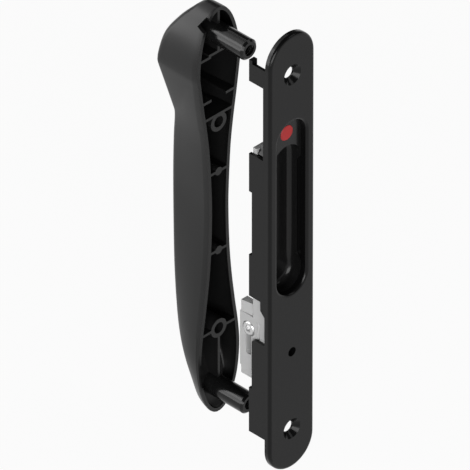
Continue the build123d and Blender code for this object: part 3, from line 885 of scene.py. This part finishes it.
class LOCK_OT_bright_parts(bpy.types.Operator):
    """Finishes the slide, latch block, screw, washer, straps, balls, spring and indicator"""

    bl_idname = "lock.bright_parts"
    bl_label = "Bright parts"

    def execute(self, context):
        finishes = context.scene.lock_finishes
        zinc = painted("bare_zinc", finishes.zinc_colour, *ZINC_FINISH)
        steel = metal("screw_steel", *PLATED_STEEL)
        for node in ("drive_slide", "latch_block"):
            dress(node, zinc)
        for node in ("clamp_screw", "clamp_washer", "detent_spring", "upper_strap", "lower_strap"):
            dress(node, steel)
        ball = metal("ball_steel", *BALL_STEEL)
        for node in ("detent_ball_left", "detent_ball_right"):
            dress(node, ball)
        dress("red_indicator", painted("red_plastic", finishes.red_colour, *INDICATOR_FINISH))
        return {"FINISHED"}


class LOCK_OT_studio(bpy.types.Operator):
    """Makes the floor, the world, the lamps and the camera"""

    bl_idname = "lock.studio"
    bl_label = "Studio"

    def execute(self, context):
        studio = context.scene.lock_studio
        self.floor(context.scene)
        self.world(context.scene, studio)
        self.lamps(context.scene)
        self.camera(context.scene, studio)
        context.scene.view_settings.view_transform = "Standard"
        return {"FINISHED"}

    def floor(self, scene):
        """A pale floor that looks nearly white and keeps the lock's shadow."""
        low_z = CAD_BOX[0][2] - FLOOR_DROP
        mesh = bpy.data.meshes.new("floor")
        turns = ((-1, -1), (1, -1), (1, 1), (-1, 1))
        corners = [(x * FLOOR_REACH, y * FLOOR_REACH, low_z) for x, y in turns]
        mesh.from_pydata(corners, [], [(0, 1, 2, 3)])
        floor = bpy.data.objects.new("floor", mesh)
        scene.collection.objects.link(floor)
        material = bpy.data.materials.new("pale_floor")
        material.use_nodes = True
        tree = material.node_tree
        nodes, links = tree.nodes, tree.links
        shader = nodes["Principled BSDF"]
        shader.inputs["Base Color"].default_value = (FLOOR_GREY, FLOOR_GREY, FLOOR_GREY, 1)
        shader.inputs["Roughness"].default_value = FLOOR_ROUGHNESS
        shader.inputs["Specular IOR Level"].default_value = 0.0
        glow = nodes.new("ShaderNodeEmission")
        glow.inputs["Color"].default_value = (1, 1, 1, 1)
        path = nodes.new("ShaderNodeLightPath")
        seen = path.outputs["Is Camera Ray"]
        for ray in ("Is Glossy Ray", "Is Transmission Ray"):
            seen = reckoned(tree, "ADD", seen, path.outputs[ray], clamp=True)
        mix = nodes.new("ShaderNodeMixShader")
        links.new(reckoned(tree, "MULTIPLY", seen, FLOOR_WHITE), mix.inputs[0])
        links.new(shader.outputs[0], mix.inputs[1])
        links.new(glow.outputs[0], mix.inputs[2])
        links.new(mix.outputs[0], nodes["Material Output"].inputs["Surface"])
        mesh.materials.append(material)

    def world(self, scene, studio):
        """A pale horizon band under a dark sky."""
        world = bpy.data.worlds.new("studio_world")
        world.use_nodes = True
        scene.world = world
        nodes, links = world.node_tree.nodes, world.node_tree.links
        place = nodes.new("ShaderNodeTexCoord")
        split = nodes.new("ShaderNodeSeparateXYZ")
        links.new(place.outputs["Generated"], split.inputs[0])
        ramp = nodes.new("ShaderNodeValToRGB")
        low, high = ramp.color_ramp.elements
        low.position, high.position = studio.band_low, studio.band_high
        low.color = (studio.horizon, studio.horizon, studio.horizon, 1)
        high.color = (studio.ceiling, studio.ceiling, studio.ceiling, 1)
        links.new(split.outputs["Z"], ramp.inputs["Fac"])
        links.new(ramp.outputs["Color"], nodes["Background"].inputs["Color"])

    def lamps(self, scene):
        """Large soft lamps that face the lock."""
        for name, azimuth, elevation, distance, size, radiance, matt in LAMPS:
            light = bpy.data.lights.new(name, "AREA")
            light.shape = "RECTANGLE"
            light.size, light.size_y = size
            light.energy = radiance * math.pi * size[0] * size[1]
            lamp = bpy.data.objects.new(name, light)
            lamp.visible_diffuse = matt
            lamp.visible_camera = False
            toward = from_angles(math.radians(azimuth), math.radians(elevation))
            lamp.location = Vector(LAMP_AIM) + toward * distance
            lamp.rotation_euler = (-toward).to_track_quat("-Z", "Y").to_euler()
            scene.collection.objects.link(lamp)

    def camera(self, scene, studio):
        """A camera with so long a lens that its view is nearly isometric."""
        data = bpy.data.cameras.new("camera")
        data.lens = studio.lens
        data.sensor_width = SENSOR_WIDTH
        data.clip_start, data.clip_end = CLIP_RANGE
        distance = studio.picture_width * studio.lens / SENSOR_WIDTH
        camera = bpy.data.objects.new("camera", data)
        back = from_angles(studio.azimuth, studio.elevation)
        camera.location = Vector(studio.target) + back * distance
        camera.rotation_euler = (-back).to_track_quat("-Z", "Y").to_euler()
        scene.collection.objects.link(camera)
        scene.camera = camera


class LOCK_PT_looks(bpy.types.Panel):
    """Looks of the lock"""

    bl_label = "Lock looks"
    bl_space_type = "VIEW_3D"
    bl_region_type = "UI"
    bl_category = "Lock"

    def draw(self, context):
        layout = self.layout
        scene = context.scene
        for group in (scene.lock_finishes, scene.lock_handle, scene.lock_studio):
            for name in group.__annotations__:
                layout.prop(group, name)
        for operator in OPERATORS:
            layout.operator(operator.bl_idname)


OPERATORS = (
    LOCK_OT_pull_handle,
    LOCK_OT_post_threads,
    LOCK_OT_black_castings,
    LOCK_OT_bright_parts,
    LOCK_OT_studio,
)
CLASSES = (LOCK_Finishes, LOCK_Handle, LOCK_Studio, *OPERATORS, LOCK_PT_looks)


def register():
    """Registers the classes and hangs the settings on the scene."""
    for cls in CLASSES:
        bpy.utils.register_class(cls)
    bpy.types.Scene.lock_finishes = PointerProperty(type=LOCK_Finishes)
    bpy.types.Scene.lock_handle = PointerProperty(type=LOCK_Handle)
    bpy.types.Scene.lock_studio = PointerProperty(type=LOCK_Studio)


def unregister():
    """Takes back what register does."""
    del bpy.types.Scene.lock_studio
    del bpy.types.Scene.lock_handle
    del bpy.types.Scene.lock_finishes
    for cls in reversed(CLASSES):
        bpy.utils.unregister_class(cls)


def main():
    """Makes the pieces, the finishes and the stage."""
    register()
    bpy.ops.lock.pull_handle()
    bpy.ops.lock.post_threads()
    bpy.ops.lock.black_castings()
    bpy.ops.lock.bright_parts()
    bpy.ops.lock.studio()


if __name__ == "__main__":
    main()
